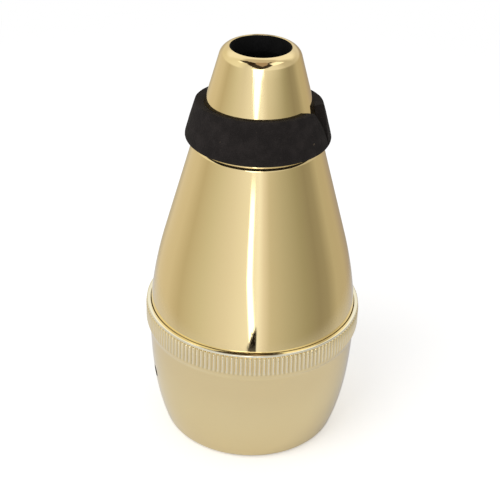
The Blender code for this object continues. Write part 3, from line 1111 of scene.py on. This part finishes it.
class MUTE_OT_gasket(bpy.types.Operator):
    """Make the rubber gasket between the cone's shoulder and the bowl's seat"""

    bl_idname = "mute.gasket"
    bl_label = "Joint gasket"
    bl_options = {"REGISTER", "UNDO"}

    def execute(self, context):
        inner = context.scene.mute_cone.spigot_radius + GAP
        piece = turned(
            "gasket_rubber",
            rounded(
                [
                    (inner, GASKET_LOW.z, 0.35 * MM),
                    (GASKET_HIGH.x, GASKET_LOW.z, 0.35 * MM),
                    (GASKET_HIGH.x, GASKET_HIGH.z, 0.35 * MM),
                    (inner, GASKET_HIGH.z, 0.35 * MM),
                ]
            ),
            32,
            6,
        )
        wear(piece, black_rubber(context.scene.mute_finishes))
        smooth(piece)
        stand_for(piece, "seal", "black_rubber", "joint_gasket")
        return {"FINISHED"}


class MUTE_OT_damping(bpy.types.Operator):
    """Make the foam disc on the bowl's floor"""

    bl_idname = "mute.damping"
    bl_label = "Damping foam"
    bl_options = {"REGISTER", "UNDO"}

    def execute(self, context):
        radius = FOAM_HIGH.x
        low, high = FOAM_LOW.z, FOAM_HIGH.z
        profile = [(0.0, low), (radius * 0.5, low)] + rounded(
            [
                (radius * 0.8, low, 0.0),
                (radius - 0.3 * MM, low, 0.5 * MM),
                (radius, (low + high) / 2, 4.0 * MM),
                (radius - 0.4 * MM, high - 0.2 * MM, 0.9 * MM),
                (radius * 0.8, high - 0.05 * MM, 0.0),
            ],
            closed=False,
        ) + [(radius * share, high - 0.02 * MM * share) for share in (0.6, 0.4, 0.2)] + [(0.0, high)]
        piece = turned("damping_foam_disc", profile, 24, 6)
        for vertex in piece.data.vertices:
            vertex.co.z += noise.noise(vertex.co * 240.0) * 0.10 * MM * (vertex.co.z > low + 2.0 * MM)
        piece.data.update()
        wear(piece, closed_cell_foam(context.scene.mute_finishes))
        smooth(piece, 50.0)
        stand_for(piece, "bowl", "black_foam", "damping_foam")
        return {"FINISHED"}


# The stage


def turns(azimuth):
    """An azimuth in degrees from the front, towards +X, as a place from 0 to 1 on a ramp."""
    return azimuth / 360.0 + 0.5


def studio_world(studio):
    """White behind the mute, plain light from all round, and for mirrors the pale walls of the studio:
    brighter at the front left, dimmer at the right, a bright slit ahead and a darker ceiling."""
    world = bpy.data.worlds.new("studio")
    bpy.context.scene.world = world
    graph = Graph(world)
    way = graph.node("ShaderNodeTexCoord", None, None, output="Generated")
    x = graph.node("ShaderNodeSeparateXYZ", None, {0: way}, output=0)
    y = graph.node("ShaderNodeSeparateXYZ", None, {0: way}, output=1)
    z = graph.node("ShaderNodeSeparateXYZ", None, {0: way}, output=2)
    azimuth = x.math("ARCTAN2", x, -y) * (180.0 / pi)
    height = z.math("ARCSINE", z) * (180.0 / pi)
    around = azimuth * (1.0 / 360.0) + 0.5
    low_wall = [
        (-180, (0.52, 0.48, 0.42)), (-158, (0.56, 0.51, 0.40)), (-142, (0.72, 0.67, 0.57)),
        (-110, (0.68, 0.64, 0.56)), (-88, (0.55, 0.51, 0.42)), (-60, (0.66, 0.65, 0.59)),
        (-30, (0.81, 0.80, 0.80)), (-8, (0.94, 0.95, 0.98)), (6, (1.04, 1.08, 1.16)),
        (12, (0.84, 0.82, 0.84)), (20, (0.63, 0.61, 0.56)), (40, (0.50, 0.49, 0.43)),
        (62, (0.38, 0.37, 0.30)), (80, (0.315, 0.295, 0.24)), (93, (0.35, 0.33, 0.27)),
        (110, (0.52, 0.49, 0.41)), (132, (0.53, 0.48, 0.38)), (150, (0.44, 0.38, 0.32)),
        (163, (0.38, 0.33, 0.27)), (176, (0.52, 0.48, 0.42)),
    ]
    high_wall = [
        (-180, (0.72, 0.68, 0.60)), (-140, (0.76, 0.72, 0.60)), (-110, (0.84, 0.82, 0.74)),
        (-64, (0.92, 0.92, 0.86)), (-40, (0.74, 0.74, 0.74)), (-22, (0.95, 0.97, 1.0)),
        (22, (0.95, 0.97, 1.0)), (50, (0.86, 0.86, 0.86)), (75, (0.60, 0.58, 0.54)),
        (100, (0.56, 0.54, 0.50)), (135, (0.72, 0.69, 0.64)), (170, (0.74, 0.72, 0.70)),
    ]
    ramps = []
    for stops in (low_wall, high_wall):
        settings = {"stops": [(turns(azimuth_stop), shade) for azimuth_stop, shade in stops]}
        ramps.append(graph.node("ShaderNodeValToRGB", settings, {"Fac": around}))
    walls = graph.mix(height.step(1.0, 14.0), ramps[0], ramps[1])
    side = azimuth.math("ABSOLUTE", azimuth)
    front = side.step(130.0, 100.0)
    walls = graph.mix((1.0 - front) * height.step(22.0, 40.0), walls, (1.0, 1.0, 1.0, 1.0))
    walls = graph.mix(height.step(60.0, 70.0), walls, (0.60, 0.555, 0.51, 1.0))
    slanted = azimuth + height.math("MINIMUM", height, 0.0) * 0.27
    shake = (graph.noise(way, 20.0, 4.0, 0.65) - 0.5) * 22.0
    slit = slanted.between(-7.6, -1.2, 0.8) * height.between(-23.0, 2.4, 0.6)
    leaf = azimuth + 5.0 + shake
    leaf = leaf.math("ABSOLUTE", leaf) - height.step(4.4, 8.6) * 15.0
    leaf = leaf.step(0.9, -0.9) * height.between(4.4, 21.0, 0.5)
    walls = graph.mix(slit.math("MAXIMUM", slit, leaf), walls, (2.6, 2.6, 2.7, 1.0))
    ragged = azimuth + (graph.noise(way, 70.0, 2.0) - 0.5) * 9.0
    foot = (ragged - height - 19.5).step(-0.8, 0.8) * azimuth.step(6.2, 5.0)
    foot = foot * height.between(-25.0, -16.5, 1.0)
    walls = graph.mix(foot, walls, (0.012, 0.010, 0.009, 1.0))
    torn = azimuth - 1.0 + (graph.noise(way, 24.0, 4.0) - 0.5) * 26.0
    torn = torn.math("ABSOLUTE", torn)
    opening = (torn * 0.9 - (height - 18.0) * 1.25).step(1.5, -1.5) * height.between(20.0, 74.0, 1.0)
    walls = graph.mix(opening * 0.98, walls, (0.030, 0.020, 0.014, 1.0))
    middle = azimuth - 8.0 + (graph.noise(way, 14.0, 3.0) - 0.5) * 20.0
    middle = middle.math("ABSOLUTE", middle)
    middle = (middle - (height - 43.0) * 1.3).step(3.0, -3.0) * height.between(42.0, 80.0, 2.0)
    walls = graph.mix(middle, walls, (0.40, 0.31, 0.25, 1.0))
    left_dark = (azimuth + shake * 0.4).between(-94.0, -26.0, 3.0) * height.between(55.0, 71.0, 1.5)
    walls = graph.mix(left_dark * 0.97, walls, (0.030, 0.020, 0.014, 1.0))
    right_box = azimuth.between(44.0, 92.0, 3.0) * height.between(46.0, 66.0, 2.0)
    left_box = azimuth.between(-84.0, -68.0, 2.0) * height.between(45.0, 54.0, 2.0)
    walls = graph.mix(right_box.math("MAXIMUM", right_box, left_box), walls, (1.30, 1.30, 1.30, 1.0))
    path = {name: graph.node("ShaderNodeLightPath", None, None, output=name) for name in
            ("Is Camera Ray", "Is Glossy Ray")}
    fill = studio.fill
    plain = graph.mix(path["Is Glossy Ray"], (fill, fill, fill, 1.0), walls)
    seen = graph.mix(path["Is Camera Ray"], plain, (1.0, 1.0, 1.0, 1.0))
    graph.finish(graph.node("ShaderNodeBackground", None, {"Color": seen, "Strength": 1.0}))


def pale_floor(studio):
    """Pale board that keeps the mute's soft shadow near it and fades into white, and that a mirror
    sees only near the mute, where the studio's wall then takes over."""
    material, graph, place = piece_material("pale_floor")
    x = graph.node("ShaderNodeSeparateXYZ", None, {0: place}, output=0)
    y = graph.node("ShaderNodeSeparateXYZ", None, {0: place}, output=1)
    away = x.math("SQRT", x * x + y * y)
    glossy = graph.node("ShaderNodeLightPath", None, None, output="Is Glossy Ray")
    camera = graph.node("ShaderNodeLightPath", None, None, output="Is Camera Ray")
    mirrored = tuple(value * share for value, share in zip(studio.floor, (0.90, 0.92, 1.02)))
    base = graph.mix(glossy, (*studio.floor, 1.0), (*mirrored, 1.0))
    base = graph.mix(glossy * away.step(0.075, 0.040), base, (0.83, 0.87, 0.98, 1.0))
    board = graph.node("ShaderNodeBsdfDiffuse", None, {"Color": base})
    glow = graph.node("ShaderNodeEmission", None, {"Color": (1.0, 1.0, 1.0, 1.0), "Strength": 0.38})
    white = graph.node("ShaderNodeEmission", None, {"Color": (1.0, 1.0, 1.0, 1.0), "Strength": 1.0})
    clear = graph.node("ShaderNodeBsdfTransparent", None, {"Color": (1.0, 1.0, 1.0, 1.0)})
    lit = graph.node("ShaderNodeAddShader", None, {0: board, 1: glow})
    near = graph.node("ShaderNodeMixShader", None, {0: camera, 1: board, 2: lit})
    far = graph.node("ShaderNodeMixShader", None, {0: camera * away.step(0.16, 0.42), 1: near, 2: white})
    seen = graph.node("ShaderNodeMixShader", None, {0: glossy * away.step(0.085, 0.17), 1: far, 2: clear})
    graph.finish(seen)
    return material


class MUTE_OT_stage(bpy.types.Operator):
    """Set up the pale floor, the soft studio light and the camera"""

    bl_idname = "mute.stage"
    bl_label = "Floor, light and camera"
    bl_options = {"REGISTER", "UNDO"}

    def execute(self, context):
        studio = context.scene.mute_studio
        context.scene.view_settings.view_transform = "Standard"
        bpy.ops.object.select_all(action="DESELECT")
        bpy.ops.mesh.primitive_plane_add(size=studio.floor_size, location=(0.0, 0.0, -0.00002))
        floor = context.object
        floor.name = "floor"
        wear(floor, pale_floor(studio))
        studio_world(studio)
        bpy.ops.object.light_add(type="AREA", location=(-0.55, -0.60, 1.0))
        lamp = context.object
        lamp.name = "key_lamp"
        lamp.data.shape = "DISK"
        lamp.data.size = 0.9
        lamp.data.energy = studio.key
        lamp.rotation_euler = (Vector((0.0, 0.0, 0.07)) - lamp.location).to_track_quat("-Z", "Y").to_euler()
        lamp.visible_glossy = False
        place_camera(context)
        return {"FINISHED"}


def place_camera(context):
    """The photograph's camera, worked out from the mute's outline in it."""
    pitch, yaw, roll = radians(30.62), radians(-0.21), radians(1.83)
    ahead = Vector((sin(yaw) * cos(pitch), cos(yaw) * cos(pitch), -sin(pitch)))
    level = Vector((cos(yaw), -sin(yaw), 0.0))
    upright = level.cross(ahead)
    across = level * cos(roll) + upright * sin(roll)
    upward = upright * cos(roll) - level * sin(roll)
    turn = Matrix((across, upward, -ahead)).transposed()
    bpy.ops.object.camera_add(location=(0.0, -0.3921, 0.3003), rotation=turn.to_euler())
    camera = context.object
    camera.name = "photograph_camera"
    camera.data.sensor_width = 36.0
    camera.data.lens = 1297.2 / 500.0 * 36.0
    camera.data.clip_start = 0.01
    camera.data.clip_end = 50.0
    context.scene.camera = camera


STEPS = (
    MUTE_OT_bowl,
    MUTE_OT_damping,
    MUTE_OT_gasket,
    MUTE_OT_cone,
    MUTE_OT_thread,
    MUTE_OT_band,
    MUTE_OT_throat,
    MUTE_OT_stage,
)


class MUTE_PT_panel(bpy.types.Panel):
    """Sizes, finishes and building steps of the mute"""

    bl_idname = "MUTE_PT_panel"
    bl_label = "Trumpet Mute"
    bl_space_type = "VIEW_3D"
    bl_region_type = "UI"
    bl_category = "Mute"

    def draw(self, context):
        scene = context.scene
        for step in STEPS:
            self.layout.operator(step.bl_idname)
        for group in (scene.mute_bowl, scene.mute_cone, scene.mute_band, scene.mute_tube,
                      scene.mute_finishes, scene.mute_studio):
            box = self.layout.box()
            for name in group.bl_rna.properties.keys():
                if name not in ("rna_type", "name"):
                    box.prop(group, name)


GROUPS = {
    "mute_bowl": BowlSizes,
    "mute_cone": ConeSizes,
    "mute_band": BandSizes,
    "mute_tube": TubeSizes,
    "mute_finishes": Finishes,
    "mute_studio": Studio,
}


def register():
    for name, group in GROUPS.items():
        bpy.utils.register_class(group)
        setattr(bpy.types.Scene, name, PointerProperty(type=group))
    for step in STEPS:
        bpy.utils.register_class(step)
    bpy.utils.register_class(MUTE_PT_panel)


def unregister():
    bpy.utils.unregister_class(MUTE_PT_panel)
    for step in reversed(STEPS):
        bpy.utils.unregister_class(step)
    for name, group in reversed(GROUPS.items()):
        delattr(bpy.types.Scene, name)
        bpy.utils.unregister_class(group)


def main():
    register()
    bpy.ops.mute.bowl()
    bpy.ops.mute.damping()
    bpy.ops.mute.gasket()
    bpy.ops.mute.cone()
    bpy.ops.mute.thread()
    bpy.ops.mute.band()
    bpy.ops.mute.throat()
    bpy.ops.mute.stage()


if __name__ == "__main__":
    main()
